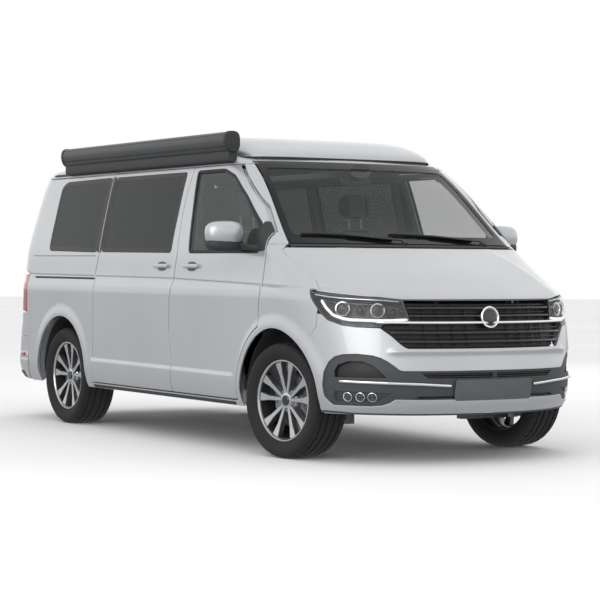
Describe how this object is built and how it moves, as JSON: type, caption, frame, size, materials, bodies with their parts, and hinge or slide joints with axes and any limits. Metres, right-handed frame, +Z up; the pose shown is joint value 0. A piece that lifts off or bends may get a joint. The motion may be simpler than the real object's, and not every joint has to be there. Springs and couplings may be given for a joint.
{
  "type": "camper van",
  "caption": "Panel-van based camper with a lifting roof, opening doors, bonnet and tailgate, steered front wheels, roll-out awning case and a fitted living cabin.",
  "frame": {"origin": "on the ground, midway between the bumpers and between the two mirrors", "axes": "-Y forwards, +X to the van's left, +Z up"},
  "size_m": [2.3024, 4.9033, 1.99],
  "materials": {
    "body_paint": "satin",
    "grille_black": "gloss",
    "lamp_clear": "gloss",
    "lamp_red": "gloss",
    "glass_clear": "gloss",
    "glass_tint": "gloss",
    "underbody": "matte",
    "canvas": "matte",
    "awning_case": "satin",
    "tyre": "matte",
    "alloy": "satin",
    "steel": "matte",
    "exhaust_steel": "satin",
    "tank_plastic": "matte",
    "dash_plastic": "matte",
    "wheel_leather": "satin",
    "seat_fabric": "matte",
    "cabinet": "satin"
  },
  "bodies": {
    "root": {"body_side_left": "body_paint", "body_side_right": "body_paint", "roof_frame": "body_paint", "floor_pan": "underbody", "front_structure": "underbody", "front_wings": "body_paint", "front_bumper": "body_paint", "grille": "grille_black", "headlights": "lamp_clear", "windscreen": "glass_clear", "sliding_door": "body_paint", "side_windows": "glass_tint", "tail_lights": "lamp_red", "rear_bumper": "body_paint", "tent_canvas": "canvas", "awning": "awning_case", "front_suspension": "steel", "rear_suspension": "steel", "engine_block": "steel", "exhaust": "exhaust_steel", "fuel_tank": "tank_plastic", "towing_socket": "steel", "dashboard": "dash_plastic", "front_seats": "seat_fabric", "rear_bench": "seat_fabric", "kitchen_unit": "cabinet"},
    "bonnet": {"bonnet": "body_paint"},
    "front_door_left": {"door_left": "body_paint", "door_glass_left": "glass_clear", "mirror_left": "body_paint"},
    "front_door_right": {"door_right": "body_paint", "door_glass_right": "glass_clear", "mirror_right": "body_paint"},
    "rear_hatch": {"tailgate": "body_paint", "tailgate_glass": "glass_tint"},
    "lifting_roof": {"pop_top_roof": "body_paint"},
    "steering_left": {"knuckle_left": "steel"},
    "steering_right": {"knuckle_right": "steel"},
    "wheel_front_left": {"tyre_front_left": "tyre", "rim_front_left": "alloy"},
    "wheel_front_right": {"tyre_front_right": "tyre", "rim_front_right": "alloy"},
    "wheel_rear_left": {"tyre_rear_left": "tyre", "rim_rear_left": "alloy"},
    "wheel_rear_right": {"tyre_rear_right": "tyre", "rim_rear_right": "alloy"},
    "hand_wheel": {"steering_wheel": "wheel_leather"}
  },
  "joints": [
    {"name": "bonnet_hinge", "type": "hinge", "parent": "root", "child": "bonnet", "pos_m": [0, -1.498, 1.244], "axis": [1, 0, 0], "range_deg": [-50, 0]},
    {"name": "door_left_hinge", "type": "hinge", "parent": "root", "child": "front_door_left", "pos_m": [0.947, -1.405, 0.8], "axis": [0, 0, 1], "range_deg": [-65, 0]},
    {"name": "door_right_hinge", "type": "hinge", "parent": "root", "child": "front_door_right", "pos_m": [-0.947, -1.405, 0.8], "axis": [0, 0, 1], "range_deg": [0, 65]},
    {"name": "tailgate_hinge", "type": "hinge", "parent": "root", "child": "rear_hatch", "pos_m": [0, 2.26, 1.764], "axis": [1, 0, 0], "range_deg": [0, 85]},
    {"name": "lifting_roof_hinge", "type": "hinge", "parent": "root", "child": "lifting_roof", "pos_m": [0, 1.892, 1.838], "axis": [1, 0, 0], "range_deg": [-22, 0], "deforming": ["tent_canvas"]},
    {"name": "steer_left", "type": "hinge", "parent": "root", "child": "steering_left", "pos_m": [0.7405, -1.544, 0.341], "axis": [0, 0, 1], "range_deg": [-43, 27]},
    {"name": "steer_right", "type": "hinge", "parent": "root", "child": "steering_right", "pos_m": [-0.7405, -1.544, 0.341], "axis": [0, 0, 1], "range_deg": [-43, 27]},
    {"name": "wheel_front_left_spin", "type": "hinge", "parent": "steering_left", "child": "wheel_front_left", "pos_m": [0.79992, -1.53565, 0.341], "axis": [0.9903, 0.1392, 0], "continuous": true},
    {"name": "wheel_front_right_spin", "type": "hinge", "parent": "steering_right", "child": "wheel_front_right", "pos_m": [-0.79992, -1.55235, 0.341], "axis": [0.9903, 0.1392, 0], "continuous": true},
    {"name": "wheel_rear_left_spin", "type": "hinge", "parent": "root", "child": "wheel_rear_left", "pos_m": [0.8005, 1.456, 0.341], "axis": [1, 0, 0], "continuous": true},
    {"name": "wheel_rear_right_spin", "type": "hinge", "parent": "root", "child": "wheel_rear_right", "pos_m": [-0.8005, 1.456, 0.341], "axis": [1, 0, 0], "continuous": true},
    {"name": "hand_wheel_turn", "type": "hinge", "parent": "root", "child": "hand_wheel", "pos_m": [0.42, -0.8736, 1.192], "axis": [0, 0.8829, 0.4695], "range_deg": [-620, 400]}
  ],
  "couplings": [
    {"joint": "steer_right", "follows": "steer_left", "ratio": 1},
    {"joint": "hand_wheel_turn", "follows": "steer_left", "ratio": 14}
  ]
}
